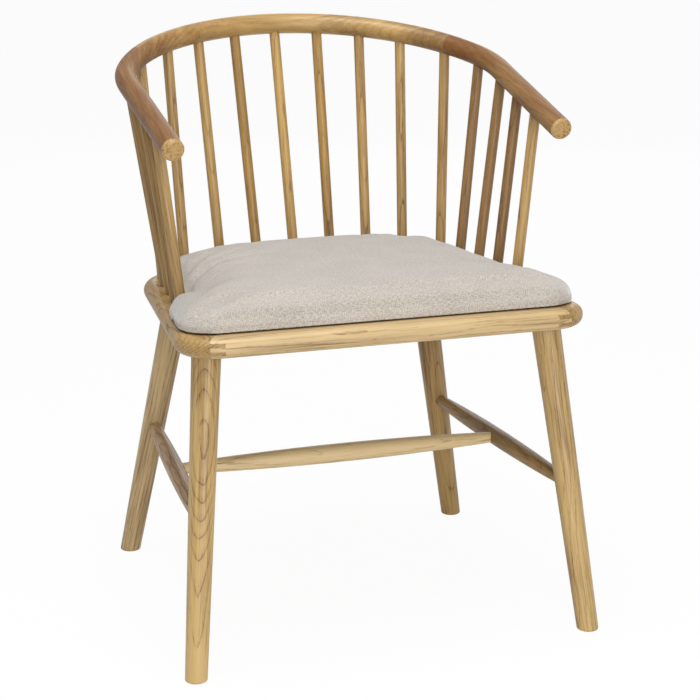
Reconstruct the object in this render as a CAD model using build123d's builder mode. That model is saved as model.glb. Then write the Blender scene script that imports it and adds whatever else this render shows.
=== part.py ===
# Spindle chair: a bow-back armchair with an upholstered seat pad.
# Millimetres, +Z up, the chair faces -Y, origin on the floor under the middle of the chair.
import os
from math import cos, degrees, radians, sin, tan

from build123d import *

os.makedirs("parts", exist_ok=True)

# Seat ring
seat_height = 416.0  # top of the wood above the floor at the middle of the chair
seat_slope = 2.5  # degrees, falling to the back
seat_thickness = 25.5
seat_nose_flat = 0.6  # flat left between the two roundings of the bullnose edge
seat_front = 265.0  # middle to front edge
seat_back = 204.0  # middle to back edge
seat_front_half_width = 271.0  # at the front edge, before its corners are rounded
seat_side_taper = 5.9  # degrees, narrowing to the back
seat_front_corner_radius = 53.0
seat_back_corner_radius = 105.0
front_rail_width = 88.0
side_rail_width = 78.0
back_rail_width = 88.0
opening_corner_radius = 45.0

# Finger joints of the seat ring
finger_count = 5
finger_length = 18.0
front_joint_inset = 45.5  # side of the seat to where the joint crosses the front edge
front_joint_angle = 28.0  # degrees from straight back, towards the middle
back_joint_inset = 99.0  # back edge of the seat to the joint

# Bow
bow_diameter = 28.2
bow_rise = 260.0  # seat to the centre line of the bow at the middle of the chair
bow_slope = 11.7  # degrees, rising to the back
bow_overhang = 78.0  # back edge of the seat to the centre line at the back, along the slope
crest_half_angle = 67.8  # degrees, from the middle of the crest to the start of a corner
bow_corner_radius = 150.0
arm_inset = 14.5  # half width of the seat's front to the centre line of an arm
arm_convergence = 1.2  # degrees, arms closing to the front
arm_setback = 88.0  # front edge of the seat to the arm ends, along the slope
arm_end_rounding = 4.5
lap_near = 78.0  # from the middle of the crest to the near end of each half lap
lap_far = 262.0  # and to its far end

# Spindles, counted on each side of the middle one
spindle_diameter = 14.2
spindle_inset = 26.0  # seat edge to spindle axis
spindle_corner_radius = 72.0  # turn of the line of spindles at each back corner of the seat
spindle_seat_depth = 18.0
spindle_bow_depth = 5.0  # past the centre line of the bow
back_spindles = 3
side_spindles = 5
crest_spacing = 61.0  # along the bow
arm_spacing = 65.5
arm_spindle_setback = 92.0  # arm end to its first spindle
seat_back_spacing = 53.5  # along the line of spindles on the seat
seat_side_spacing = 55.5
seat_spindle_setback = 175.5  # front edge of the seat to its first spindle

# Legs
leg_top_diameter = 37.0
leg_foot_diameter = 28.0
leg_tenon_diameter = 25.0
leg_tenon_length = 20.0
foot_rounding = 2.0
front_leg_front_inset = 64.5  # front edge of the seat to the leg axis, on the underside
front_leg_side_inset = 41.0
front_leg_side_splay = 5.6  # degrees
front_leg_front_splay = 10.6
back_leg_back_inset = 61.5
back_leg_side_inset = 51.0
back_leg_side_splay = 10.1
back_leg_back_splay = 7.2

# Stretchers
stretcher_height = 191.0
side_stretcher_diameter = 24.0
side_stretcher_end = 16.0
cross_stretcher_diameter = 25.5
cross_stretcher_end = 15.0
cross_stretcher_forward = 33.0  # forward of the middle of the chair
stretcher_leg_depth = 4.0  # tenon end past the leg axis
stretcher_cross_depth = 2.0  # tenon end past the side stretcher axis

# Seat pad
pad_front_inset = 26.0  # seat front edge to pad
pad_side_inset = 6.5  # seat side edge to pad ear
pad_spindle_gap = 2.5  # pad to the spindles at seat level
pad_ear_gap = 4.0  # back of an ear to the front spindle
pad_edge_height = 38.0
pad_crown = 6.0  # rise of the middle above the edge
pad_draw_in = 4.0  # how far the foot of the side is drawn in under its bulge
pad_shoulder = 20.0  # width of the rounded top edge
pad_front_corner_radius = 40.0
pad_front_top_radius = 62.0
pad_ear_corner_radius = 14.0
pad_notch_radius = 9.0
pad_back_corner_radius = 60.0
pad_back_top_radius = 118.0
pad_ear_fall = 22.0  # how much further the top of an ear is drawn in
cover_thickness = 1.2
dust_cover_thickness = 0.8
board_thickness = 8.0
board_margin = 6.0  # foam wrapped round the edge of the board

# Pad screws
screw_diameter = 4.0
screw_head_diameter = 9.0
screw_head_height = 3.0
screw_recess = 4.0
screw_bite = 6.0  # length in the board
front_screw_x = 120.0
front_screw_inset = 50.0
back_screw_x = 95.0
back_screw_inset = 56.0

# Clearances
glue_gap = 0.1  # round a tenon
end_gap = 0.5  # beyond the end of a tenon
screw_gap = 0.3
trim_margin = 12.0  # length that is cut off where a solid is trimmed to a face

# Planes of the seat and of the bow
seat_normal = (0, sin(radians(seat_slope)), cos(radians(seat_slope)))
seat_top = Plane(origin=(0, 0, seat_height), x_dir=(1, 0, 0), z_dir=seat_normal)
seat_underside = seat_top.offset(-seat_thickness)
bow_normal = (0, -sin(radians(bow_slope)), cos(radians(bow_slope)))
bow_plane = Plane(origin=(0, 0, seat_height + bow_rise), x_dir=(1, 0, 0), z_dir=bow_normal)

bow_radius = bow_diameter / 2
spindle_radius = spindle_diameter / 2
taper = tan(radians(seat_side_taper))
taper_stretch = 1 / cos(radians(seat_side_taper))


def side_x(y, inset):
    """Half width of the seat at y, measured in from its side edge by inset."""
    return seat_front_half_width - (y + seat_front) * taper - inset * taper_stretch


def seat_ring_face(front, side, back, front_corner, back_corner):
    """Rounded plan of the seat, drawn in from its front, side and back edges."""
    front_y = front - seat_front
    back_y = seat_back - back
    right = [(side_x(front_y, side), front_y), (side_x(back_y, side), back_y)]
    left = [(-x, y) for x, y in reversed(right)]
    corners = [front_corner, back_corner, back_corner, front_corner]
    with BuildSketch() as plan:
        with BuildLine():
            FilletPolyline(*right, *left, radius=corners, close=True)
        make_face()
    return plan.sketch


def mirrored(point):
    """The same point on the other side of the chair."""
    return Vector(-point.X, point.Y, point.Z)


def along(start, end):
    """Plane at start whose normal points to end."""
    return Plane(origin=start, z_dir=Vector(*end) - Vector(*start))


# Spindle line on the seat: right half, from the middle of the back to the front
spindle_back_y = seat_back - spindle_inset
with BuildLine(seat_top) as spindle_line:
    FilletPolyline(
        (0, spindle_back_y),
        (side_x(spindle_back_y, spindle_inset), spindle_back_y),
        (side_x(-seat_front, spindle_inset), -seat_front),
        radius=spindle_corner_radius,
    )
spindle_feet = spindle_line.wire()

# Centre line of the bow, from the left arm end to the right one
bow_half_span = seat_front_half_width - arm_inset
bow_back = seat_back + bow_overhang
arm_reach = seat_front - arm_setback
corner_centre_x = bow_half_span - bow_corner_radius
corner_distance = corner_centre_x / sin(radians(crest_half_angle))
bow_back_radius = bow_corner_radius + corner_distance
back_centre_y = bow_back - bow_back_radius
corner_centre_y = back_centre_y + corner_distance * cos(radians(crest_half_angle))
corner_sweep = 90 - crest_half_angle + arm_convergence
arm_start_x = corner_centre_x + bow_corner_radius * cos(radians(arm_convergence))
arm_start_y = corner_centre_y - bow_corner_radius * sin(radians(arm_convergence))
arm_end_x = arm_start_x - (arm_start_y + arm_reach) * tan(radians(arm_convergence))
with BuildLine(bow_plane) as bow_line:
    Line((-arm_end_x, -arm_reach), (-arm_start_x, arm_start_y))
    CenterArc((-corner_centre_x, corner_centre_y), bow_corner_radius, 180 + arm_convergence, -corner_sweep)
    CenterArc((0, back_centre_y), bow_back_radius, 90 + crest_half_angle, -2 * crest_half_angle)
    CenterArc((corner_centre_x, corner_centre_y), bow_corner_radius, 90 - crest_half_angle, -corner_sweep)
    Line((arm_start_x, arm_start_y), (arm_end_x, -arm_reach))
bow_wire = bow_line.wire()
bow_middle = bow_wire.length / 2

# Spindle axes, each as its foot on the seat and its head on the centre line of the bow
seat_places = [step * seat_back_spacing for step in range(back_spindles + 1)]
bow_places = [step * crest_spacing for step in range(back_spindles + 1)]
for step in reversed(range(side_spindles)):
    seat_places.append(spindle_feet.length - seat_spindle_setback - step * seat_side_spacing)
    bow_places.append(bow_middle - arm_spindle_setback - step * arm_spacing)
right_axes = []
for on_seat, on_bow in zip(seat_places, bow_places):
    foot = spindle_feet.position_at(on_seat, PositionMode.LENGTH)
    head = bow_wire.position_at(bow_middle + on_bow, PositionMode.LENGTH)
    right_axes.append((foot, head))
left_axes = [(mirrored(foot), mirrored(head)) for foot, head in reversed(right_axes[1:])]
spindle_axes = left_axes + right_axes


def leg_axis(head_x, head_y, side_splay, depth_splay):
    """Foot on the floor, head on the seat's underside and direction of a leg."""
    head = seat_underside.from_local_coords(Vector(head_x, head_y, 0))
    lean_x = -tan(radians(side_splay)) * (1 if head_x > 0 else -1)
    lean_y = -tan(radians(depth_splay)) * (1 if head_y > 0 else -1)
    direction = Vector(lean_x, lean_y, 1).normalized()
    return head - direction * (head.Z / direction.Z), head, direction


front_leg_y = front_leg_front_inset - seat_front
back_leg_y = seat_back - back_leg_back_inset
front_leg_x = side_x(front_leg_y, front_leg_side_inset)
back_leg_x = side_x(back_leg_y, back_leg_side_inset)
leg_axes = {}
for side_name, side in (("left", -1), ("right", 1)):
    leg_axes[f"front_{side_name}_leg"] = leg_axis(
        side * front_leg_x, front_leg_y, front_leg_side_splay, front_leg_front_splay
    )
    leg_axes[f"back_{side_name}_leg"] = leg_axis(
        side * back_leg_x, back_leg_y, back_leg_side_splay, back_leg_back_splay
    )


def leg_point(name, height):
    """Point on a leg's axis at a height above the floor."""
    foot, head, direction = leg_axes[name]
    return foot + direction * (height / direction.Z)


def leg_radius(name, height):
    """Radius of the tapered leg at a height above the floor."""
    foot, head, direction = leg_axes[name]
    return (leg_foot_diameter + (leg_top_diameter - leg_foot_diameter) * height / head.Z) / 2


# Stretcher axes, with tenon ends past the axes of the pieces that hold them
side_stretcher_axes = {}
for side_name in ("left", "right"):
    front = leg_point(f"front_{side_name}_leg", stretcher_height)
    back = leg_point(f"back_{side_name}_leg", stretcher_height)
    run = (back - front).normalized()
    side_stretcher_axes[side_name] = (front - run * stretcher_leg_depth, back + run * stretcher_leg_depth)
side_front, side_back = side_stretcher_axes["right"]
cross_share = (-cross_stretcher_forward - side_front.Y) / (side_back.Y - side_front.Y)
cross_half = side_front.X + (side_back.X - side_front.X) * cross_share + stretcher_cross_depth
cross_axis = (
    Vector(-cross_half, -cross_stretcher_forward, stretcher_height),
    Vector(cross_half, -cross_stretcher_forward, stretcher_height),
)

# Screw places on the seat plane
front_screw_y = front_screw_inset - seat_front
back_screw_y = seat_back - back_screw_inset
screw_places = [
    (-front_screw_x, front_screw_y),
    (front_screw_x, front_screw_y),
    (-back_screw_x, back_screw_y),
    (back_screw_x, back_screw_y),
]

# Whole seat ring with its bullnose edge and every hole, before it is divided into rails
nose_radius = (seat_thickness - seat_nose_flat) / 2
opening_corners = (opening_corner_radius, opening_corner_radius)
opening_face = seat_ring_face(front_rail_width, side_rail_width, back_rail_width, *opening_corners)
with BuildPart() as seat_ring:
    with BuildSketch(seat_underside):
        add(seat_ring_face(0, 0, 0, seat_front_corner_radius, seat_back_corner_radius))
    extrude(amount=seat_thickness)
    fillet(faces().sort_by(Axis((0, 0, 0), seat_normal))[0].edges(), radius=nose_radius)
    fillet(faces().sort_by(Axis((0, 0, 0), seat_normal))[-1].edges(), radius=nose_radius)
    with BuildSketch(seat_underside):
        add(opening_face)
    extrude(amount=seat_thickness, mode=Mode.SUBTRACT)
    for foot, head in spindle_axes:
        rise = (head - foot).normalized()
        with BuildSketch(along(foot - rise * (spindle_seat_depth + end_gap), head)):
            Circle(spindle_radius + glue_gap)
        extrude(amount=spindle_seat_depth + end_gap + trim_margin, mode=Mode.SUBTRACT)
    for foot, head, direction in leg_axes.values():
        with BuildSketch(Plane(origin=head - direction * trim_margin, z_dir=direction)):
            Circle(leg_tenon_diameter / 2 + glue_gap)
        extrude(amount=trim_margin + leg_tenon_length + end_gap, mode=Mode.SUBTRACT)
    with BuildSketch(seat_underside):
        with Locations(screw_places):
            Circle(screw_diameter / 2 + screw_gap)
    extrude(amount=seat_thickness, mode=Mode.SUBTRACT)
    with BuildSketch(seat_underside):
        with Locations(screw_places):
            Circle(screw_head_diameter / 2 + screw_gap)
    extrude(amount=screw_recess, mode=Mode.SUBTRACT)

# Finger-jointed cutting blocks: each layer reaches past the joint line or stops short of it
layer_height = seat_thickness / finger_count
joint_lean = tan(radians(front_joint_angle))
joint_stretch = 1 / cos(radians(front_joint_angle))
front_joint_x = seat_front_half_width - front_joint_inset
back_joint_y = seat_back - back_joint_inset
inner_y = front_rail_width + opening_corner_radius - seat_front
outer_y = -seat_front - trim_margin
with BuildPart() as front_block:
    for layer in range(finger_count):
        shift = finger_length / 2 * (1 if layer % 2 == 0 else -1) * joint_stretch
        front_x = front_joint_x + shift + trim_margin * joint_lean
        inner_x = front_joint_x + shift - (inner_y + seat_front) * joint_lean
        with BuildSketch(seat_underside.offset(layer * layer_height)):
            right = [(front_x, outer_y), (inner_x, inner_y)]
            Polygon(*right, (-inner_x, inner_y), (-front_x, outer_y), align=None)
        extrude(amount=layer_height)

block_x = seat_front_half_width + trim_margin
block_y = seat_back + trim_margin
with BuildPart() as back_block:
    for layer in range(finger_count):
        shift = finger_length / 2 * (1 if layer % 2 == 0 else -1)
        near_y = back_joint_y - shift
        with BuildSketch(seat_underside.offset(layer * layer_height)):
            right = [(block_x, near_y), (block_x, block_y)]
            Polygon(*right, (-block_x, block_y), (-block_x, near_y), align=None)
        extrude(amount=layer_height)

with BuildPart() as seat_front_rail:
    add(seat_ring.part)
    add(front_block.part, mode=Mode.INTERSECT)

with BuildPart() as seat_back_rail:
    add(seat_ring.part)
    add(back_block.part, mode=Mode.INTERSECT)

with BuildPart() as seat_sides:
    add(seat_ring.part)
    add(front_block.part, mode=Mode.SUBTRACT)
    add(back_block.part, mode=Mode.SUBTRACT)

with BuildPart() as seat_left_rail:
    add(seat_sides.solids().sort_by(Axis.X)[0])

with BuildPart() as seat_right_rail:
    add(seat_sides.solids().sort_by(Axis.X)[-1])

# Whole bow with its spindle holes, before it is divided at the half laps
with BuildPart() as bow:
    with BuildSketch(Plane(origin=bow_wire @ 0, z_dir=bow_wire % 0)):
        Circle(bow_radius)
    sweep(path=bow_wire)
    fillet(bow.edges().group_by(Axis.Y)[0], radius=arm_end_rounding)
    for foot, head in spindle_axes:
        rise = (head - foot).normalized()
        with BuildSketch(along(head - rise * (bow_radius + trim_margin), head)):
            Circle(spindle_radius + glue_gap)
        extrude(amount=bow_radius + trim_margin + spindle_bow_depth + end_gap, mode=Mode.SUBTRACT)

lap_near_angle = degrees(lap_near / bow_back_radius)
lap_far_angle = degrees(lap_far / bow_back_radius)


def ring_sector(inner_radius, outer_radius, left_angle, right_angle):
    """Part of a ring about the centre of the crest, between angles left and right of the middle."""
    centre = (0, back_centre_y)
    with BuildSketch() as sector:
        with BuildLine():
            inner = CenterArc(centre, inner_radius, 90 - right_angle, left_angle + right_angle)
            outer = CenterArc(centre, outer_radius, 90 - right_angle, left_angle + right_angle)
            Line(inner @ 0, outer @ 0)
            Line(inner @ 1, outer @ 1)
        make_face()
    return sector.sketch


with BuildPart() as crest_block:
    with BuildSketch(bow_plane):
        add(ring_sector(bow_back_radius - bow_diameter, bow_back_radius, lap_near_angle, lap_far_angle))
        add(ring_sector(bow_back_radius, bow_back_radius + bow_diameter, lap_far_angle, lap_near_angle))
    extrude(amount=bow_diameter, both=True)

with BuildPart() as bow_crest:
    add(bow.part)
    add(crest_block.part, mode=Mode.INTERSECT)

with BuildPart() as bow_arms:
    add(bow.part)
    add(crest_block.part, mode=Mode.SUBTRACT)

with BuildPart() as bow_left_arm:
    add(bow_arms.solids().sort_by(Axis.X)[0])

with BuildPart() as bow_right_arm:
    add(bow_arms.solids().sort_by(Axis.X)[-1])

# Spindles, numbered from the left front to the right front
spindles = []
for number, (foot, head) in enumerate(spindle_axes, start=1):
    rise = (head - foot).normalized()
    low_end = foot - rise * spindle_seat_depth
    high_end = head + rise * spindle_bow_depth
    with BuildPart() as spindle:
        with BuildSketch(along(low_end, high_end)):
            Circle(spindle_radius)
        extrude(amount=(high_end - low_end).length)
    spindle.part.label = f"spindle_{number:02d}"
    spindles.append(spindle)

# Legs: tapered, cut flat at the floor and at the seat, with a round tenon on top
legs = []
for name, (foot, head, direction) in leg_axes.items():
    taper_rate = (leg_top_diameter - leg_foot_diameter) / 2 / (head - foot).length
    side_name = name.split("_")[1]
    rail_start, rail_end = side_stretcher_axes[side_name]
    hole_start = rail_start if name.startswith("front") else rail_end
    hole_end = rail_end if name.startswith("front") else rail_start
    outward = (hole_start - hole_end).normalized()
    with BuildPart() as leg:
        with BuildSketch(Plane(origin=foot - direction * trim_margin, z_dir=direction)):
            Circle(leg_foot_diameter / 2 - taper_rate * trim_margin)
        with BuildSketch(Plane(origin=head + direction * trim_margin, z_dir=direction)):
            Circle(leg_top_diameter / 2 + taper_rate * trim_margin)
        loft()
        split(bisect_by=Plane.XY, keep=Keep.TOP)
        split(bisect_by=seat_underside, keep=Keep.BOTTOM)
        fillet(leg.edges().group_by(Axis.Z)[0], radius=foot_rounding)
        with BuildSketch(Plane(origin=head - direction * trim_margin, z_dir=direction)):
            Circle(leg_tenon_diameter / 2)
        extrude(amount=trim_margin + leg_tenon_length)
        with BuildSketch(along(hole_start + outward * end_gap, hole_end)):
            Circle(side_stretcher_end / 2 + glue_gap)
        extrude(amount=leg_top_diameter, mode=Mode.SUBTRACT)
    leg.part.label = name
    legs.append(leg)


def barrel_face(length, tenon, end_diameter, middle_diameter):
    """Half profile of a barrel-shaped rod with plain round ends, along X from the origin."""
    low = end_diameter / 2
    high = middle_diameter / 2
    with BuildSketch() as profile:
        with BuildLine():
            Polyline((tenon, low), (0, low), (0, 0), (length, 0), (length, low), (length - tenon, low))
            ThreePointArc((tenon, low), (length / 2, high), (length - tenon, low))
        make_face()
    return profile.sketch


# Side stretchers, each with a socket for the cross stretcher
side_stretchers = []
leg_tenon_reach = stretcher_leg_depth + leg_radius("front_right_leg", stretcher_height)
for side_name, (front, back) in side_stretcher_axes.items():
    run = (back - front).normalized()
    reach = (back - front).length
    socket_end = cross_axis[0] if side_name == "left" else cross_axis[1]
    socket_start = cross_axis[1] if side_name == "left" else cross_axis[0]
    outward = (socket_end - socket_start).normalized()
    with BuildPart() as stretcher:
        with BuildSketch(Plane(origin=front, x_dir=run, z_dir=(0, 0, 1))):
            add(barrel_face(reach, leg_tenon_reach, side_stretcher_end, side_stretcher_diameter))
        revolve(axis=Axis(front, run))
        with BuildSketch(along(socket_end + outward * end_gap, socket_start)):
            Circle(cross_stretcher_end / 2 + glue_gap)
        extrude(amount=side_stretcher_diameter, mode=Mode.SUBTRACT)
    stretcher.part.label = f"{side_name}_side_stretcher"
    side_stretchers.append(stretcher)

cross_tenon_reach = stretcher_cross_depth + side_stretcher_diameter / 2
with BuildPart() as cross_stretcher:
    with BuildSketch(Plane(origin=cross_axis[0], x_dir=(1, 0, 0), z_dir=(0, 0, 1))):
        add(barrel_face(2 * cross_half, cross_tenon_reach, cross_stretcher_end, cross_stretcher_diameter))
    revolve(axis=Axis(cross_axis[0], (1, 0, 0)))

# Seat pad: plan with an ear in front of each front spindle
front_spindle_foot = seat_top.to_local_coords(spindle_axes[-1][0])
ear_back_y = front_spindle_foot.Y - spindle_radius - pad_ear_gap
pad_front_y = pad_front_inset - seat_front
pad_back_y = spindle_back_y - spindle_radius - pad_spindle_gap
body_inset = spindle_inset + spindle_radius + pad_spindle_gap


def pad_face(inset, fall=0.0, scale=1.0):
    """Plan of the pad, drawn in by inset, its corners falling from sides (0) to top (1), then scaled."""
    front_y = pad_front_y + inset
    ear_y = ear_back_y - inset - pad_ear_fall * fall
    back_y = pad_back_y - inset
    ear_depth = body_inset - pad_side_inset
    ear_share = 1 - pad_ear_fall * fall / ear_depth
    ear_inset = pad_side_inset + inset + pad_ear_fall * fall
    right = [
        (side_x(front_y, ear_inset), front_y),
        (side_x(ear_y, ear_inset), ear_y),
        (side_x(ear_y, body_inset + inset), ear_y),
        (side_x(back_y, body_inset + inset), back_y),
    ]
    left = [(-x, y) for x, y in reversed(right)]
    half_corners = [
        pad_front_corner_radius + (pad_front_top_radius - pad_front_corner_radius) * fall,
        pad_ear_corner_radius * ear_share,
        pad_notch_radius * ear_share,
        pad_back_corner_radius + (pad_back_top_radius - pad_back_corner_radius) * fall,
    ]
    corners = half_corners + half_corners[::-1]
    with BuildSketch() as plan:
        with BuildLine():
            FilletPolyline(*right, *left, radius=corners, close=True)
        make_face()
    return plan.sketch.scale(scale)


def pad_form(skin):
    """Crowned pad with drawn-in sides, its surface lowered by skin."""
    edge = pad_edge_height - skin
    crown = edge + pad_crown
    sections = [
        (0, pad_draw_in + skin, 0, 1.0),
        (edge * 0.3, skin, 0, 1.0),
        (edge * 0.55, pad_shoulder * 0.05 + skin, 0.05, 1.0),
        (edge * 0.75, pad_shoulder * 0.2 + skin, 0.2, 1.0),
        (edge * 0.9, pad_shoulder * 0.48 + skin, 0.5, 1.0),
        (edge, pad_shoulder + skin, 1.0, 1.0),
        (edge + pad_crown * 0.5, pad_shoulder + skin, 1.0, 0.78),
        (edge + pad_crown * 0.85, pad_shoulder + skin, 1.0, 0.5),
        (crown, pad_shoulder + skin, 1.0, 0.2),
    ]
    with BuildPart() as form:
        for height, inset, fall, scale in sections:
            with BuildSketch(seat_top.offset(dust_cover_thickness + height)):
                add(pad_face(inset, fall, scale))
        loft(ruled=True)
    return form.part


pad_outside = pad_form(0)
pad_inside = pad_form(cover_thickness)
board_face = pad_face(pad_draw_in + cover_thickness + board_margin)

with BuildPart() as cushion_cover:
    add(pad_outside)
    add(pad_inside, mode=Mode.SUBTRACT)

with BuildPart() as cushion_board:
    with BuildSketch(seat_top.offset(dust_cover_thickness)):
        add(board_face)
    extrude(amount=board_thickness)
    with BuildSketch(seat_top.offset(dust_cover_thickness)):
        with Locations(screw_places):
            Circle(screw_diameter / 2 + glue_gap)
    extrude(amount=screw_bite + end_gap, mode=Mode.SUBTRACT)

with BuildPart() as cushion_foam:
    add(pad_inside)
    with BuildSketch(seat_top.offset(dust_cover_thickness)):
        add(board_face)
    extrude(amount=board_thickness, mode=Mode.SUBTRACT)

with BuildPart() as dust_cover:
    with BuildSketch(seat_top):
        add(pad_face(pad_draw_in))
        with Locations(screw_places):
            Circle(screw_diameter / 2 + screw_gap, mode=Mode.SUBTRACT)
    extrude(amount=dust_cover_thickness)

# Four screws up through the seat rails into the board
head_plane = seat_underside.offset(screw_recess - screw_head_height)
with BuildPart() as pad_screws:
    with BuildSketch(head_plane):
        with Locations(screw_places):
            Circle(screw_head_diameter / 2)
    extrude(amount=screw_head_height)
    with BuildSketch(seat_underside.offset(screw_recess)):
        with Locations(screw_places):
            Circle(screw_diameter / 2)
    extrude(amount=seat_thickness - screw_recess + dust_cover_thickness + screw_bite)

# Labels and files
seat_front_rail.part.label = "seat_front_rail"
seat_back_rail.part.label = "seat_back_rail"
seat_left_rail.part.label = "seat_left_rail"
seat_right_rail.part.label = "seat_right_rail"
bow_crest.part.label = "bow_crest"
bow_left_arm.part.label = "bow_left_arm"
bow_right_arm.part.label = "bow_right_arm"
cross_stretcher.part.label = "cross_stretcher"
cushion_cover.part.label = "cushion_cover"
cushion_foam.part.label = "cushion_foam"
cushion_board.part.label = "cushion_board"
dust_cover.part.label = "dust_cover"
pad_screws.part.label = "pad_screws"

pieces = [seat_front_rail, seat_back_rail, seat_left_rail, seat_right_rail]
pieces += [bow_crest, bow_left_arm, bow_right_arm]
pieces += [*spindles, *legs, *side_stretchers, cross_stretcher]
pieces += [cushion_cover, cushion_foam, cushion_board, dust_cover, pad_screws]
for piece in pieces:
    export_step(piece.part, f"parts/{piece.part.label}.step")
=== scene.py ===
from functools import reduce
from math import cos, exp, pi, radians, sin, sqrt

import bmesh
import bpy
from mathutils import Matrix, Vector


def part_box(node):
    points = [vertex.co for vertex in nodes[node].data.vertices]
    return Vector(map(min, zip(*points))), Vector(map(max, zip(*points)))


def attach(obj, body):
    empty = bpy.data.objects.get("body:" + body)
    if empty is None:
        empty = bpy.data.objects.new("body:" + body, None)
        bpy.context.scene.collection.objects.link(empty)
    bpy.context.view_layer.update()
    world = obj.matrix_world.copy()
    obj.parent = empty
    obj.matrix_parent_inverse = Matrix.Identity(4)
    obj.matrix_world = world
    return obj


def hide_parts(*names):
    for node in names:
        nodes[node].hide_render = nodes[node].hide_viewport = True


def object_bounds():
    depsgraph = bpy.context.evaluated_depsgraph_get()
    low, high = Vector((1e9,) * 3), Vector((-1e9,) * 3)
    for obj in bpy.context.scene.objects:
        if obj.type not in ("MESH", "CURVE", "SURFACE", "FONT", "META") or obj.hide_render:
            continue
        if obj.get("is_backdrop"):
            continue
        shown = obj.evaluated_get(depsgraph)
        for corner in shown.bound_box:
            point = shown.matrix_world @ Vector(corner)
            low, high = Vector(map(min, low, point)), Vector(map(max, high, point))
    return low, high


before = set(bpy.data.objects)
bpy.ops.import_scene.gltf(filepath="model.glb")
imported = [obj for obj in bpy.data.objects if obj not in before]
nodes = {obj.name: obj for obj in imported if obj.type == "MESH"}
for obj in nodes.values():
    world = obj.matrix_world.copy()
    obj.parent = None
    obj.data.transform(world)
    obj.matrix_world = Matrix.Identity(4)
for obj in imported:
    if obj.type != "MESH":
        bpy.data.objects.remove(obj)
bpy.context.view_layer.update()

scene = bpy.context.scene

# Seat plane, in metres
SEAT_HEIGHT = 0.416
SEAT_SLOPE = radians(2.5)
SEAT_ORIGIN = Vector((0, 0, SEAT_HEIGHT))
SIDEWAYS = Vector((1, 0, 0))
SEAT_BACKWARD = Vector((0, cos(SEAT_SLOPE), -sin(SEAT_SLOPE)))
SEAT_NORMAL = Vector((0, sin(SEAT_SLOPE), cos(SEAT_SLOPE)))


def seat_place(point):
    """Place of a point on the seat: sideways, backwards and height above the wood."""
    from_origin = point - SEAT_ORIGIN
    return from_origin.x, from_origin.dot(SEAT_BACKWARD), from_origin.dot(SEAT_NORMAL)


def seat_point(sideways, backwards, height):
    """Point at a place on the seat."""
    return SEAT_ORIGIN + SIDEWAYS * sideways + SEAT_BACKWARD * backwards + SEAT_NORMAL * height


def height_over_seat(point):
    return seat_place(point)[2]


# Shader nodes

# Most of a noise lies between these
NOISE_LOW = 0.3
NOISE_HIGH = 0.7


class Graph:
    """Short ways to add shader nodes to one node tree."""

    def __init__(self, tree):
        self.tree = tree

    def feed(self, socket, value):
        """Links a socket to another one, or gives it a constant."""
        if isinstance(value, bpy.types.NodeSocket):
            self.tree.links.new(value, socket)
        else:
            socket.default_value = value

    def set(self, node, **values):
        """Feeds sockets by name, with underscores for spaces."""
        for name, value in values.items():
            self.feed(node.inputs[name.replace("_", " ")], value)

    def add(self, kind, **values):
        node = self.tree.nodes.new(kind)
        self.set(node, **values)
        return node

    def math(self, operation, *values):
        node = self.tree.nodes.new("ShaderNodeMath")
        node.operation = operation
        for socket, value in zip(node.inputs, values):
            self.feed(socket, value)
        return node.outputs[0]

    def total(self, *values):
        return reduce(lambda first, second: self.math("ADD", first, second), values)

    def times(self, *values):
        return reduce(lambda first, second: self.math("MULTIPLY", first, second), values)

    def less(self, value, amount):
        return self.math("SUBTRACT", value, amount)

    def parts(self, vector):
        return self.add("ShaderNodeSeparateXYZ", Vector=vector).outputs

    def object_place(self):
        return self.add("ShaderNodeTexCoord").outputs["Object"]

    def turned_place(self, origin, turn):
        """Object coordinates from a given origin, in a turned frame."""
        node = self.tree.nodes.new("ShaderNodeMapping")
        node.vector_type = "TEXTURE"
        self.set(node, Vector=self.object_place(), Location=origin, Rotation=turn)
        return node.outputs[0]

    def stretched(self, vector, scale):
        return self.add("ShaderNodeMapping", Vector=vector, Scale=scale).outputs[0]

    def noise(self, vector, scale, detail=2.0):
        """Soft noise with so many features in a metre."""
        return self.add("ShaderNodeTexNoise", Vector=vector, Scale=scale, Detail=detail).outputs[0]

    def spread(self, noise, width):
        """Noise brought to lie about 0."""
        return self.times(self.less(noise, 0.5), width)

    def ramp(self, value, low, high, low_to=0.0, high_to=1.0):
        node = self.tree.nodes.new("ShaderNodeMapRange")
        node.interpolation_type = "SMOOTHSTEP"
        names = ("Value", "From Min", "From Max", "To Min", "To Max")
        for name, given in zip(names, (value, low, high, low_to, high_to)):
            self.feed(node.inputs[name], given)
        return node.outputs["Result"]

    def level(self, noise, low_to, high_to):
        """Noise brought to lie between two values."""
        return self.ramp(noise, NOISE_LOW, NOISE_HIGH, low_to, high_to)

    def mix(self, factor, first, second):
        """Mix of two colours."""
        node = self.tree.nodes.new("ShaderNodeMix")
        node.data_type = "RGBA"
        for socket, value in zip((node.inputs[0], node.inputs[6], node.inputs[7]), (factor, first, second)):
            self.feed(socket, value)
        return node.outputs[2]

    def mix_shaders(self, factor, first, second):
        node = self.tree.nodes.new("ShaderNodeMixShader")
        for socket, value in zip(node.inputs, (factor, first.outputs[0], second.outputs[0])):
            self.feed(socket, value)
        return node.outputs[0]

    def bump(self, height, strength, distance):
        return self.add("ShaderNodeBump", Strength=strength, Distance=distance, Height=height).outputs[0]


def make_group(name, inputs, outputs):
    """Empty shader node group with its sockets, and its start and end nodes."""
    group = bpy.data.node_groups.new(name, "ShaderNodeTree")
    for socket, kind in inputs:
        group.interface.new_socket(socket, in_out="INPUT", socket_type="NodeSocket" + kind)
    for socket, kind in outputs:
        group.interface.new_socket(socket, in_out="OUTPUT", socket_type="NodeSocket" + kind)
    return group, group.nodes.new("NodeGroupInput").outputs, group.nodes.new("NodeGroupOutput").inputs


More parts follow.
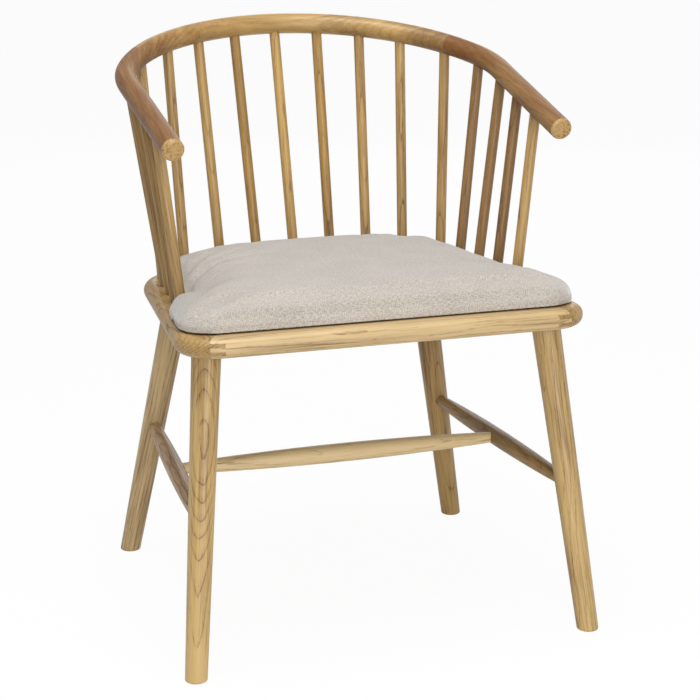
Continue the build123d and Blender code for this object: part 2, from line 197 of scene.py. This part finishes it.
def new_material(name):
    """New material, the graph of its nodes, and its shader."""
    material = bpy.data.materials.new(name)
    material.use_nodes = True
    graph = Graph(material.node_tree)
    return material, graph, graph.tree.nodes["Principled BSDF"]


# Wood

# What one piece can set, with its usual values
WOOD_INPUTS = {
    "light": (0.5, 0.3, 0.1, 1),
    "dark": (0.2, 0.1, 0.03, 1),
    "tone": 0.0,  # shift of the whole piece, pale below 0 and deep above
    "darkening": 0.0,  # shift along the grain, for each metre
    "ring_spacing": 0.0055,
    "line_strength": 0.8,
    "lean": 0.0,  # how fast the rings run out of the piece
    "drift": 1.0,  # how much they wander
    "swell": 0.0,  # a bulge of the rings, which shows as an oval
    "swell_place": 0.0,
    "fibre_strength": 1.0,
    "fade_place": 9.0,  # past this the tone shifts softly
    "fade_tone": 0.0,
    "end_place": -9.0,  # before this the end of the piece shows
    "end_tone": 0.0,  # shift there, pale end grain below 0 and scuffs above
}
RING_DRIFT = 0.045  # how far a ring wanders slowly
RING_WAVER = 0.003  # and from place to place
SWELL_LENGTH = 0.124
FADE_LENGTH = 0.05


def drawn_out(g, place, share, scale, detail=2.0):
    """Noise drawn out along the grain, into longer streaks for a smaller share."""
    return g.noise(g.stretched(place, (1, 1, share)), scale, detail)


def ring_phase(g, given, place):
    """How far a place is through its growth ring, from 0 to 1."""
    across, over, along = g.parts(place)
    distance = g.math("SQRT", g.total(g.times(across, across), g.times(over, over)))
    drift = g.spread(drawn_out(g, place, 0.4, 7.0), RING_DRIFT)
    waver = g.spread(drawn_out(g, place, 0.3, 60.0, 3.0), RING_WAVER)
    from_swell = g.math("DIVIDE", g.less(along, given["swell_place"]), SWELL_LENGTH)
    swell = g.math("EXPONENT", g.times(from_swell, from_swell, -1.0))
    reach = g.total(
        distance,
        g.times(drift, given["drift"]),
        waver,
        g.times(along, given["lean"]),
        g.times(swell, given["swell"]),
    )
    return g.math("FRACT", g.math("DIVIDE", reach, given["ring_spacing"]))


def make_wood_group():
    """Growth rings, fibres and open pores of a coarse-grained wood; the grain runs along local Z."""
    inputs = [("place", "Vector")]
    for name, value in WOOD_INPUTS.items():
        inputs.append((name, "Float" if isinstance(value, float) else "Color"))
    outputs = [("color", "Color"), ("roughness", "Float"), ("height", "Float")]
    group, given, out = make_group("wood_grain", inputs, outputs)
    g = Graph(group)
    place = given["place"]
    along = g.parts(place)[2]
    phase = ring_phase(g, given, place)
    fibre = drawn_out(g, place, 0.02, 900.0, 3.0)
    streak = drawn_out(g, place, 0.025, 330.0, 3.0)
    broad = drawn_out(g, place, 0.07, 75.0)
    patch = drawn_out(g, place, 0.3, 16.0)

    # One ring: a sharp dark line of open pores that softens into paler wood
    dashes = g.ramp(drawn_out(g, place, 0.12, 800.0), 0.52, 0.68)
    sharp = g.times(g.ramp(phase, 0.0, 0.04), g.ramp(phase, 0.05, 0.19, 1.0, 0.0))
    early = g.times(g.ramp(phase, 0.0, 0.05), g.ramp(phase, 0.1, 0.6, 1.0, 0.0))
    uneven = g.times(g.ramp(dashes, 0.0, 1.0, 0.65, 1.0), g.level(broad, 0.55, 1.0))
    line = g.times(sharp, uneven, given["line_strength"])
    pores = g.times(dashes, g.ramp(early, 0.0, 1.0, 0.15, 0.7))
    coarse = g.total(
        g.times(pores, 0.42),
        g.ramp(fibre, 0.3, 0.72, -0.2, 0.2),
        g.ramp(streak, 0.32, 0.68, -0.16, 0.18),
    )

    # Shifts along the piece: a soft fade, and a mottled end with an uneven border
    fade = g.ramp(g.less(along, given["fade_place"]), -FADE_LENGTH / 2, FADE_LENGTH / 2)
    past_end = g.total(g.less(given["end_place"], along), g.level(patch, -0.003, 0.001))
    mottle = g.ramp(g.noise(place, 420.0), 0.4, 0.6, 0.25, 1.0)
    end = g.times(g.ramp(past_end, -0.002, 0.002), mottle)

    tone = g.total(
        given["tone"],
        g.times(along, given["darkening"]),
        g.times(line, 0.75),
        g.times(early, given["line_strength"], 0.16),
        g.times(coarse, given["fibre_strength"]),
        g.times(fade, given["fade_tone"]),
        g.ramp(phase, 0.5, 1.0, 0.0, 0.08),
        g.level(broad, -0.12, 0.12),
        g.ramp(patch, 0.32, 0.68, -0.16, 0.2),
        g.times(end, given["end_tone"]),
    )
    worn = g.total(g.times(line, 0.6), g.times(pores, 0.8))
    g.feed(out["color"], g.mix(g.ramp(tone, -0.24, 1.12), given["light"], given["dark"]))
    g.feed(out["roughness"], g.total(g.level(fibre, 0.36, 0.48), g.times(line, 0.12)))
    g.feed(out["height"], g.less(g.times(fibre, 0.35), worn))
    return group


wood_group = make_wood_group()


def wood_material(name, origin, along, heart, light, dark, **rest):
    """Wood whose grain runs along a direction, cut at some distance from the heart of the tree."""
    material, g, shader = new_material("wood_" + name)
    grain = g.tree.nodes.new("ShaderNodeGroup")
    grain.node_tree = wood_group
    turn = Vector(along).normalized().to_track_quat("Z", "Y").to_euler()
    g.feed(grain.inputs["place"], g.turned_place(Vector(origin) + Vector(heart), turn))
    for socket, value in {**WOOD_INPUTS, "light": (*light, 1), "dark": (*dark, 1), **rest}.items():
        g.feed(grain.inputs[socket], value)
    g.set(
        shader,
        Base_Color=grain.outputs["color"],
        Roughness=grain.outputs["roughness"],
        Normal=g.bump(grain.outputs["height"], strength=0.2, distance=0.0006),
        Specular_IOR_Level=0.4,
        Coat_Weight=0.12,
        Coat_Roughness=0.3,
    )
    return material


# Wooden pieces

ROD_END = 0.012  # length of a rod's end that tells where its axis is


def dress(node, material):
    """Gives a CAD node one material."""
    mesh = nodes[node].data
    mesh.materials.clear()
    mesh.materials.append(material)


def middle(node):
    low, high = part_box(node)
    return (low + high) / 2


def rod_axis(node):
    """Low and high end of a rod that stands up."""
    points = [vertex.co for vertex in nodes[node].data.vertices]
    low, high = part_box(node)
    near_low = [p for p in points if p.z < low.z + ROD_END]
    near_high = [p for p in points if p.z > high.z - ROD_END]
    return sum(near_low, Vector()) / len(near_low), sum(near_high, Vector()) / len(near_high)


def first_place(node, start, along):
    """Where a node begins along a direction, counted from a start."""
    return min((vertex.co - start).dot(along) for vertex in nodes[node].data.vertices)


# Colours, from pale to deep
CREAM = (0.70, 0.525, 0.278)
STRAW = (0.588, 0.424, 0.21)
WHEAT = (0.56, 0.38, 0.15)
GOLD = (0.53, 0.335, 0.115)
HONEY = (0.467, 0.296, 0.106)
ROSE = (0.45, 0.275, 0.13)
TAN = (0.40, 0.235, 0.068)
RUSSET = (0.30, 0.165, 0.055)
BROWN = (0.18, 0.093, 0.028)
CHESTNUT = (0.17, 0.065, 0.012)
UMBER = (0.13, 0.066, 0.022)

# Boards: direction of the grain, place of the heart from the middle, colours, and what else differs
BOARDS = {
    "seat_front_rail": dict(along=SIDEWAYS, heart=(0.55, 0.03, -0.08), light=STRAW, dark=BROWN,
                            lean=0.012, line_strength=0.9, drift=0.6),
    "seat_back_rail": dict(along=SIDEWAYS, heart=(0.3, -0.02, -0.06), light=HONEY, dark=BROWN,
                           lean=-0.006),
    "seat_left_rail": dict(along=(0.1, 1, 0), heart=(0.035, 0.2, -0.03), light=HONEY, dark=UMBER,
                           ring_spacing=0.0034, line_strength=1.0, tone=0.06),
    "seat_right_rail": dict(along=(-0.1, 1, 0), heart=(-0.045, 0.1, -0.02), light=HONEY, dark=UMBER,
                            ring_spacing=0.0034, line_strength=1.1, tone=0.08),
    "bow_crest": dict(along=(1, 0.02, 0), heart=(0, -0.09, -0.03), light=GOLD, dark=BROWN,
                      ring_spacing=0.007, line_strength=0.4, tone=0.28, fibre_strength=0.55,
                      fade_place=0.172, fade_tone=0.42),
    "left_side_stretcher": dict(along=(0.03, 1, 0), heart=(0.05, 0.3, -0.03), light=ROSE, dark=UMBER,
                                ring_spacing=0.0042, lean=0.02, line_strength=1.2),
    # Deeper than the left one: partly its wood, partly painted shade of the chair's shaded back right
    "right_side_stretcher": dict(along=(-0.03, 1, 0), heart=(-0.05, 0.1, 0.03), light=TAN, dark=UMBER,
                                 ring_spacing=0.0045, lean=-0.008, tone=0.15),
    # Pale tone: partly its wood, partly painted light on its lit top
    "cross_stretcher": dict(along=SIDEWAYS, heart=(0.2, 0.05, -0.03), light=CREAM, dark=BROWN,
                            lean=0.006, line_strength=0.7, tone=-0.35),
}
for node, look in BOARDS.items():
    dress(node, wood_material(node, middle(node), **look))

# Arms of the bow: grain along the straight length, pale end grain at the tips; the left one is paler
# behind its bend
ARM_END_GRAIN = 0.006
ARM_LOOK = dict(light=HONEY, dark=CHESTNUT, ring_spacing=0.008, line_strength=0.4, tone=0.72,
                fibre_strength=0.55, fade_place=0.165, end_tone=-1.7)
for node, side, fade_tone in (("bow_left_arm", 1, -0.5), ("bow_right_arm", -1, 0.0)):
    along = Vector((0.05 * side, 1, 0.2)).normalized()
    heart = Vector((0.06 * side, 0, -0.055))
    tip = first_place(node, middle(node) + heart, along)
    dress(node, wood_material(node, middle(node), along, heart, fade_tone=fade_tone,
                              end_place=tip + ARM_END_GRAIN, **ARM_LOOK))

# Legs: place of the heart from the foot, colours, and what else differs; the feet are scuffed. Each leg
# darkens up towards the seat, partly its wood's tone and partly painted shade under the seat
LEG_SCUFF = 0.004
LEG_SCUFF_TONE = 0.35
LEGS = {
    "front_left_leg": dict(heart=(0.02, 0.065, 0), light=WHEAT, dark=BROWN, ring_spacing=0.0042,
                           line_strength=0.9, drift=0.15, swell=0.0265, swell_place=0.284,
                           tone=-0.3, darkening=1.3),
    "front_right_leg": dict(heart=(0.05, 0.02, 0), light=WHEAT, dark=BROWN,
                            lean=0.01, tone=0.06, darkening=0.4),
    "back_left_leg": dict(heart=(-0.06, 0.01, 0), light=STRAW, dark=BROWN,
                          lean=-0.01, tone=0.04, darkening=0.3),
    # Paler at the foot and much darker up towards the seat: partly its wood, partly painted shade of the
    # chair's shaded back right
    "back_right_leg": dict(heart=(0.01, -0.07, 0), light=HONEY, dark=UMBER,
                           lean=0.008, tone=-0.25, darkening=2.6),
}
for node, look in LEGS.items():
    low, high = rod_axis(node)
    along = (high - low).normalized()
    foot = first_place(node, low + Vector(look["heart"]), along)
    dress(node, wood_material(node, low, along, end_place=foot + LEG_SCUFF,
                              end_tone=LEG_SCUFF_TONE, **look))

# Spindles, from the left front to the right front, each cut from another place in the tree; the three
# russet ones on the right side are partly deeper wood and partly painted shade
SPINDLE_COLOURS = [HONEY, TAN, TAN, TAN, HONEY, HONEY, HONEY, TAN, GOLD, TAN, HONEY, HONEY, HONEY,
                   RUSSET, RUSSET, RUSSET, HONEY]
SPINDLE_HEART = 0.05  # distance of the heart
SPINDLE_TURN = 2.4  # turn of the heart from one spindle to the next, in radians
SPINDLE_SHIFT = 0.11  # and its shift along the grain
SPINDLE_LEAN = 0.003
SPINDLE_TONE = 0.06
SPINDLE_TONE_STEP = 0.03
for count, light in enumerate(SPINDLE_COLOURS):
    node = f"spindle_{count + 1:02d}"
    low, high = rod_axis(node)
    turn = SPINDLE_TURN * count
    heart = (SPINDLE_HEART * cos(turn), SPINDLE_HEART * sin(turn), SPINDLE_SHIFT * count)
    dark = UMBER if count % 2 else BROWN
    lean = SPINDLE_LEAN * ((count * 7) % 5 - 2)
    tone = SPINDLE_TONE + SPINDLE_TONE_STEP * ((count * 5) % 4)
    dress(node, wood_material(node, low, high - low, heart, light, dark, ring_spacing=0.0048,
                              line_strength=0.9, lean=lean, tone=tone))

# Cushion

MERGE = 1e-5  # CAD vertices closer than this are one
PAD_VOXEL = 0.0045
PAD_ROUNDS = 80  # rounds of smoothing of the crown
SMOOTHING = 0.5
SMOOTHING_BACK = -0.51  # a step back, which keeps the form from shrinking
UPPER_FACING = 0.3  # least upward part of the normal on the upper side
CROWN_FACING = 0.9  # and on the crown
UPPER_HEIGHT = 0.012
PAD_FLARE = 0.004  # how far the lower edge of the cover stands out
PAD_FLARE_HEIGHT = 0.014
FLARE_FACING = 0.3  # least level part of the normal there
PAD_RIM_LIFT = 0.002  # how far that edge stands off the seat
PAD_LIFT_HEIGHT = 0.006
PAD_TUCK = 0.009  # height above the seat below which the cover is held
PAD_SWELL = 0.0035  # most that the filling pushes the cover out
FILL_FRAMES = 20
PAD_CORNER = 0.0055  # radius of the lower edge, which is then drawn out to a sewn corner
CORNER_REACH = 0.003  # most that it is drawn out
CORNER_FACING = 0.25

# Soft folds that run from the left back corner: places along each, its depth and its half width
FOLDS = [
    ([(-0.226, -0.092), (-0.192, -0.042), (-0.160, -0.008), (-0.110, 0.015), (-0.040, 0.026)],
     0.0030, 0.0055),
    ([(-0.214, -0.030), (-0.180, 0.022), (-0.150, 0.062), (-0.128, 0.098)], 0.0026, 0.0050),
    ([(-0.182, -0.010), (-0.150, 0.022), (-0.118, 0.052), (-0.070, 0.076)], 0.0018, 0.0045),
    ([(-0.203, 0.036), (-0.180, 0.080), (-0.160, 0.108)], 0.0018, 0.0045),
]
FOLD_STEPS = 12  # places worked out between two given ones
FOLD_SIDE = 0.02  # the folds lie to the left of this
FOLD_HEIGHT = 0.014  # and above this
FOLD_FACING = -0.1  # where the cover does not face further down than this
FOLD_REACH = 0.14  # and no further from the middle of the fold than this
FOLD_WIDTHS = 6  # half widths over which a fold can be felt
FOLD_WIDENING = 0.9  # how much wider a fold gets to its end
FOLD_START_DEPTH = 0.4  # share of its depth where it starts
FOLD_DEEPENING = 5  # how fast it then gets to its depth
RIDGE_HEIGHT = 0.55  # ridges beside a fold, as a share of its depth
RIDGE_AWAY = 2.3  # their distance in half widths
RIDGE_WIDTH = 1.5

SIDE_TOP = 0.038  # height where the cloth turns down the side
SIDE_FACING = 1.4  # how soon it counts as a side
WEAVE = 0.0018  # over one yarn and under the next


def piece_from(name, form):
    """New mesh object from a bmesh, which is then freed."""
    mesh = bpy.data.meshes.new(name)
    form.to_mesh(mesh)
    form.free()
    made = bpy.data.objects.new(name, mesh)
    scene.collection.objects.link(made)
    return made


def joined_copy(name, *names):
    """One new mesh object from copies of CAD meshes, with merged vertices."""
    form = bmesh.new()
    for node in names:
        form.from_mesh(nodes[node].data)
    bmesh.ops.remove_doubles(form, verts=form.verts, dist=MERGE)
    return piece_from(name, form)


def applied(piece):
    """Puts the piece's modifiers into its mesh."""
    bpy.context.view_layer.update()
    seen = piece.evaluated_get(bpy.context.evaluated_depsgraph_get())
    mesh = bpy.data.meshes.new_from_object(seen)
    piece.modifiers.clear()
    old = piece.data
    piece.data = mesh
    bpy.data.meshes.remove(old)


def level_part(normal):
    """Part of a normal that points sideways."""
    return Vector((normal.x, normal.y, 0))


def smooth_crown(form):
    """Evens out the height of the upper side of the pad without drawing in its edge."""
    upper = [v for v in form.verts if v.normal.z > UPPER_FACING and height_over_seat(v.co) > UPPER_HEIGHT]
    crown = [v for v in upper if v.normal.z > CROWN_FACING]
    for _ in range(PAD_ROUNDS):
        bmesh.ops.smooth_vert(form, verts=crown, factor=SMOOTHING, use_axis_z=True)
    for _ in range(PAD_ROUNDS):
        bmesh.ops.smooth_vert(form, verts=upper, factor=SMOOTHING, use_axis_z=True)
        bmesh.ops.smooth_vert(form, verts=upper, factor=SMOOTHING_BACK, use_axis_z=True)


def flare_edge(form):
    """Draws the lower edge of the pad outwards and a little off the seat."""
    for vertex in form.verts:
        height = height_over_seat(vertex.co)
        out = level_part(vertex.normal)
        if height < PAD_FLARE_HEIGHT and out.length > FLARE_FACING:
            vertex.co += out.normalized() * PAD_FLARE * (1 - height / PAD_FLARE_HEIGHT)
            vertex.co += SEAT_NORMAL * PAD_RIM_LIFT * max(0.0, 1 - height / PAD_LIFT_HEIGHT)


def soften(piece):
    """Gives the CAD pad its soft crown and its flared lower edge."""
    form = bmesh.new()
    form.from_mesh(piece.data)
    form.normal_update()
    smooth_crown(form)
    flare_edge(form)
    form.to_mesh(piece.data)
    form.free()


def fill_with_foam(piece):
    """Lets the filling press the cover outwards a little, its lower edge held."""
    held = piece.vertex_groups.new(name="held")
    low = [v.index for v in piece.data.vertices if height_over_seat(v.co) < PAD_TUCK]
    held.add(low, 1.0, "REPLACE")
    rest = [vertex.co.copy() for vertex in piece.data.vertices]
    settings = piece.modifiers.new("cloth", "CLOTH").settings
    settings.quality = 6
    settings.mass = 0.3
    settings.tension_stiffness = 12
    settings.compression_stiffness = 12
    settings.shear_stiffness = 6
    settings.bending_stiffness = 0.8
    settings.use_pressure = True
    settings.uniform_pressure_force = 4.0
    settings.effector_weights.gravity = 0
    settings.vertex_group_mass = "held"
    for number in range(1, FILL_FRAMES + 1):
        scene.frame_set(number)
    applied(piece)
    scene.frame_set(1)
    for vertex, start in zip(piece.data.vertices, rest):
        moved = vertex.co - start
        if moved.length > PAD_SWELL:
            vertex.co = start + moved * (PAD_SWELL / moved.length)
    piece.vertex_groups.clear()


def sharpen_rim(piece):
    """Draws the rounded lower edge out to the crisp corner of a sewn seam."""
    for vertex in piece.data.vertices:
        out = level_part(vertex.normal)
        from_top = PAD_CORNER + PAD_RIM_LIFT - height_over_seat(vertex.co)
        if 0 < from_top and out.length > CORNER_FACING:
            missing = PAD_CORNER - sqrt(max(0.0, PAD_CORNER ** 2 - min(from_top, PAD_CORNER) ** 2))
            vertex.co += out.normalized() * min(missing, CORNER_REACH)


def fold_path(places):
    """Close places along a smooth line through a few given ones."""
    points = [Vector(place) for place in places]
    ends = [points[0] * 2 - points[1], *points, points[-1] * 2 - points[-2]]
    path = []
    for before, first, second, after in zip(ends, ends[1:], ends[2:], ends[3:]):
        for step in range(FOLD_STEPS):
            t = step / FOLD_STEPS
            path.append(0.5 * (2 * first + (second - before) * t
                               + (2 * before - 5 * first + 4 * second - after) * t ** 2
                               + (3 * first - before - 3 * second + after) * t ** 3))
    return path + [points[-1]]


def fold_drop(here, path, depth, width):
    """How far one fold lowers the cover at a place: a crease with a soft ridge on each side."""
    if (here - path[len(path) // 2]).length > FOLD_REACH:
        return 0.0
    away, at = min(((here - point).length, number) for number, point in enumerate(path))
    if away > FOLD_WIDTHS * width:
        return 0.0
    share = at / (len(path) - 1)
    strength = depth * (1 - share ** 2) * min(1.0, FOLD_START_DEPTH + share * FOLD_DEEPENING)
    wide = width * (1 + FOLD_WIDENING * share)
    crease = exp(-(away / wide) ** 2)
    ridge = RIDGE_HEIGHT * exp(-((away - RIDGE_AWAY * wide) / (RIDGE_WIDTH * wide)) ** 2)
    return strength * (crease - ridge)


def press_folds(piece):
    """Draws the soft folds into the upper side of the pad."""
    paths = [(fold_path(places), depth, width) for places, depth, width in FOLDS]
    moves = []
    for vertex in piece.data.vertices:
        u, v, height = seat_place(vertex.co)
        if u > FOLD_SIDE or height < FOLD_HEIGHT or vertex.normal.z < FOLD_FACING:
            continue
        drop = sum(fold_drop(Vector((u, v)), *fold) for fold in paths)
        if drop:
            moves.append((vertex.index, vertex.co - vertex.normal * drop))
    for index, place in moves:
        piece.data.vertices[index].co = place


def lay_weave(piece):
    """UV map in metres that runs over the crown and down the sides, as the cloth does."""
    mesh = piece.data
    layer = mesh.uv_layers.new(name="weave")
    places = []
    for vertex in mesh.vertices:
        u, v, height = seat_place(vertex.co)
        out = level_part(vertex.normal)
        drop = max(0.0, SIDE_TOP - height)
        out = out.normalized() * drop * min(1.0, out.length * SIDE_FACING)
        places.append((u + out.x, v + out.y))
    for loop in mesh.loops:
        layer.data[loop.index].uv = places[loop.vertex_index]


def fabric_material():
    """Plain weave of slubby yarn, pale beige with darker specks and a soft nap."""
    material, g, shader = new_material("pad_fabric")
    laid = g.add("ShaderNodeUVMap")
    laid.uv_map = "weave"
    place = laid.outputs[0]
    solid = g.object_place()
    along, across, _ = g.parts(place)
    wander = g.spread(g.noise(solid, 60.0), 0.004)
    warp = g.math("SINE", g.times(g.total(along, wander), 2 * pi / WEAVE))
    weft = g.math("SINE", g.times(g.total(across, wander), 2 * pi / WEAVE))
    weave = g.times(warp, weft)
    slub_along = g.noise(g.stretched(place, (1, 0.25, 1)), 740.0, 3.0)
    slub_across = g.noise(g.stretched(place, (0.25, 1, 1)), 740.0, 3.0)
    speck = g.noise(place, 700.0)
    cloud = g.noise(solid, 22.0)
    tone = g.total(
        g.ramp(weave, -1.0, 1.0, -0.16, 0.16),
        g.level(slub_along, -0.24, 0.24),
        g.level(slub_across, -0.24, 0.24),
        g.level(speck, -0.34, 0.34),
        g.level(cloud, -0.06, 0.06),
    )
    shaded = (0.30, 0.263, 0.222, 1)
    pale = (0.60, 0.55, 0.492, 1)
    raised = g.total(g.times(weave, 0.5), speck, slub_along, slub_across)
    g.set(
        shader,
        Base_Color=g.mix(g.ramp(tone, -0.7, 0.6), shaded, pale),
        Roughness=g.level(speck, 0.85, 0.97),
        Normal=g.bump(raised, strength=0.4, distance=0.0007),
        Sheen_Weight=0.65,
        Sheen_Roughness=0.5,
        Specular_IOR_Level=0.2,
    )
    return material


cushion = joined_copy("cushion", "cushion_cover", "cushion_foam", "cushion_board")
remesh = cushion.modifiers.new("remesh", "REMESH")
remesh.mode = "VOXEL"
remesh.voxel_size = PAD_VOXEL
applied(cushion)
soften(cushion)
fill_with_foam(cushion)
rounding = cushion.modifiers.new("rounding", "SUBSURF")
rounding.levels = 1
rounding.render_levels = 1
applied(cushion)
sharpen_rim(cushion)
press_folds(cushion)
lay_weave(cushion)
for polygon in cushion.data.polygons:
    polygon.use_smooth = True

cushion.data.materials.clear()
cushion.data.materials.append(fabric_material())
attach(cushion, "root")
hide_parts("cushion_cover", "cushion_foam")

# Dust cloth, stretched under the pad and sagging a little inside the seat ring

CLOTH_GRID = 0.02
CLOTH_STEPS = 14  # grid lines on each side of the middle
CLOTH_THICKNESS = 0.0006
CLOTH_LIFT = 0.0007  # height of its lower face above that of the CAD cloth
CLOTH_SAG = 0.0025
DOWNWARD = -0.9  # most upward part of the normal on its lower face
OPENING_FRONT = -0.177
OPENING_BACK = 0.116
OPENING_HALF_WIDTH = 0.165


def lower_face(node):
    """Lower face of a thin CAD node, as a bmesh."""
    form = bmesh.new()
    form.from_mesh(nodes[node].data)
    bmesh.ops.remove_doubles(form, verts=form.verts, dist=MERGE)
    form.normal_update()
    spare = [face for face in form.faces if face.normal.dot(SEAT_NORMAL) > DOWNWARD]
    bmesh.ops.delete(form, geom=spare, context="FACES")
    return form


def cut_to_grid(form):
    """Cuts the cloth along lines that run across the seat and along it."""
    for step in range(-CLOTH_STEPS, CLOTH_STEPS + 1):
        for axis in (SIDEWAYS, SEAT_BACKWARD):
            everything = [*form.verts, *form.edges, *form.faces]
            bmesh.ops.bisect_plane(form, geom=everything, dist=1e-6,
                                   plane_co=SEAT_ORIGIN + axis * (step * CLOTH_GRID), plane_no=axis)


def let_sag(form):
    """Lets the cloth hang down inside the opening of the seat ring."""
    for vertex in form.verts:
        u, v, height = seat_place(vertex.co)
        along = (2 * v - OPENING_FRONT - OPENING_BACK) / (OPENING_BACK - OPENING_FRONT)
        across = u / OPENING_HALF_WIDTH
        sag = CLOTH_SAG * max(0.0, 1 - along ** 2) * max(0.0, 1 - across ** 2)
        vertex.co = seat_point(u, v, height + CLOTH_LIFT - sag)


def dust_cloth_material():
    """Black pressed cloth with a fibrous face."""
    material, g, shader = new_material("dust_cloth")
    solid = g.object_place()
    fibre = g.noise(g.stretched(solid, (1, 0.2, 1)), 420.0, 3.0)
    cross = g.noise(g.stretched(solid, (0.2, 1, 1)), 420.0, 3.0)
    cloud = g.noise(solid, 35.0)
    tone = g.total(g.level(fibre, 0.0, 0.4), g.level(cross, 0.0, 0.4), g.level(cloud, 0.0, 0.2))
    black = (0.010, 0.010, 0.011, 1)
    charcoal = (0.035, 0.033, 0.032, 1)
    g.set(
        shader,
        Base_Color=g.mix(tone, black, charcoal),
        Roughness=g.level(cloud, 0.82, 0.95),
        Normal=g.bump(g.total(fibre, cross), strength=0.3, distance=0.0004),
    )
    return material


cloth_form = lower_face("dust_cover")
cloth_area = sum(face.calc_area() for face in cloth_form.faces)
cut_to_grid(cloth_form)
let_sag(cloth_form)
bmesh.ops.solidify(cloth_form, geom=cloth_form.faces[:], thickness=CLOTH_THICKNESS)
bmesh.ops.recalc_face_normals(cloth_form, faces=cloth_form.faces[:])
dust_cloth = piece_from("dust_cloth", cloth_form)

dust_cloth.data.materials.append(dust_cloth_material())
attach(dust_cloth, "root")
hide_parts("dust_cover")

# Board and screws of the pad, and the CAD nodes that the soft pieces replace

PLY_PAIR = 0.0032  # two layers of the plywood


def plywood_material():
    """Birch plywood: pale faces with fine streaks, and darker layers on the edge."""
    material, g, shader = new_material("pad_plywood")
    place = g.turned_place(SEAT_ORIGIN, (-SEAT_SLOPE, 0, 0))
    layer = g.ramp(g.math("SINE", g.times(g.parts(place)[2], 2 * pi / PLY_PAIR)), -0.2, 0.2)
    streak = g.noise(g.stretched(place, (0.06, 1, 1)), 300.0, 3.0)
    figure = g.noise(g.stretched(place, (0.2, 1, 1)), 24.0, 3.0)
    tone = g.total(g.times(layer, 0.35), g.level(streak, 0.0, 0.3), g.level(figure, 0.0, 0.35))
    birch = (0.60, 0.45, 0.28, 1)
    deep_birch = (0.36, 0.22, 0.11, 1)
    g.set(
        shader,
        Base_Color=g.mix(tone, birch, deep_birch),
        Roughness=g.level(streak, 0.55, 0.75),
        Normal=g.bump(streak, strength=0.2, distance=0.0004),
    )
    return material


def steel_material():
    """Zinc-plated steel with fine scratches and a dull bloom."""
    material, g, shader = new_material("pad_screw_steel")
    solid = g.object_place()
    scratch = g.noise(g.stretched(solid, (1, 0.05, 0.4)), 2600.0)
    bloom = g.noise(solid, 480.0, 3.0)
    tone = g.total(g.ramp(scratch, 0.35, 0.65, 0.0, 0.4), g.level(bloom, 0.0, 0.6))
    bright = (0.62, 0.62, 0.60, 1)
    dull = (0.44, 0.43, 0.40, 1)
    g.set(
        shader,
        Base_Color=g.mix(tone, bright, dull),
        Metallic=g.ramp(bloom, 0.2, 0.8, 1.0, 0.85),
        Roughness=g.level(bloom, 0.28, 0.46),
        Normal=g.bump(scratch, strength=0.1, distance=0.0002),
    )
    return material


dress("cushion_board", plywood_material())
dress("pad_screws", steel_material())
dress("cushion_cover", cushion.data.materials[0])
dress("cushion_foam", cushion.data.materials[0])
dress("dust_cover", dust_cloth.data.materials[0])

# Camera
camera_data = bpy.data.cameras.new("camera")
camera_data.sensor_width = 36
camera_data.lens = 105.67
camera_data.clip_end = 50
camera = bpy.data.objects.new("camera", camera_data)
camera.location = (-0.7942, -2.5478, 1.0724)
camera.rotation_euler = (radians(74.374), 0, radians(-17.828))
scene.collection.objects.link(camera)
scene.camera = camera

# Floor and room, white to the camera and partly so in gloss, dimmer as lights
FLOOR_HALF_SIDE = 12
FLOOR_GLOW = 0.95  # share of plain white in what is seen; the rest shows the chair's soft shadow
GLOSS_SHARE = 0.35
ROOM_LIGHT = 0.26
ROOM_SEEN = 0.975
WHITE = (1, 1, 1, 1)
FLOOR_WHITE = (0.88, 0.88, 0.88, 1)


def seen_share(g):
    """1 for what the camera sees, less for what gloss reflects, 0 for other light."""
    rays = g.tree.nodes.new("ShaderNodeLightPath").outputs
    return g.math("MAXIMUM", rays["Is Camera Ray"], g.times(rays["Is Glossy Ray"], GLOSS_SHARE))


def floor_material():
    """Matt white that glows to the camera."""
    material, g, shader = new_material("floor_white")
    g.set(shader, Base_Color=FLOOR_WHITE, Roughness=0.9)
    glow = g.add("ShaderNodeEmission", Strength=1.0)
    both = g.mix_shaders(g.times(seen_share(g), FLOOR_GLOW), shader, glow)
    g.feed(g.tree.nodes["Material Output"].inputs["Surface"], both)
    return material


floor_form = bmesh.new()
bmesh.ops.create_grid(floor_form, x_segments=1, y_segments=1, size=FLOOR_HALF_SIDE)
floor = piece_from("floor", floor_form)
floor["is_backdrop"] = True
floor.data.materials.append(floor_material())

world = bpy.data.worlds.new("studio")
scene.world = world
world.use_nodes = True
world_graph = Graph(world.node_tree)
room = world_graph.tree.nodes["Background"]
world_graph.set(room, Color=WHITE, Strength=ROOM_LIGHT)
backdrop = world_graph.add("ShaderNodeBackground", Color=WHITE, Strength=ROOM_SEEN)
both_rooms = world_graph.mix_shaders(seen_share(world_graph), room, backdrop)
world_graph.feed(world_graph.tree.nodes["World Output"].inputs["Surface"], both_rooms)

# Lamps: place, what they point at, side and power
SEAT_MIDDLE = (0, 0, 0.4)
LAMPS = {
    "key": ((-0.2, -3.2, 1.5), SEAT_MIDDLE, 1.3, 29),
    "top": ((-0.3, -0.4, 2.8), SEAT_MIDDLE, 1.6, 57),
    "low": ((-0.1, -3.2, 0.35), (0, 0, 0.15), 1.0, 24),
    "back": ((1.2, 3.0, 1.2), SEAT_MIDDLE, 1.8, 12),
    "left": ((-3.2, 0.4, 0.6), SEAT_MIDDLE, 1.8, 4),
    "right": ((3.2, 0.4, 0.6), SEAT_MIDDLE, 1.8, 10),
}
for name, (place, target, side, power) in LAMPS.items():
    lamp_data = bpy.data.lights.new(name, "AREA")
    lamp_data.shape = "SQUARE"
    lamp_data.size = side
    lamp_data.energy = power
    lamp = bpy.data.objects.new(name, lamp_data)
    lamp.location = place
    lamp.visible_camera = False
    lamp.rotation_euler = (Vector(target) - Vector(place)).to_track_quat("-Z", "Y").to_euler()
    scene.collection.objects.link(lamp)

scene.view_settings.view_transform = "Standard"

low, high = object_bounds()
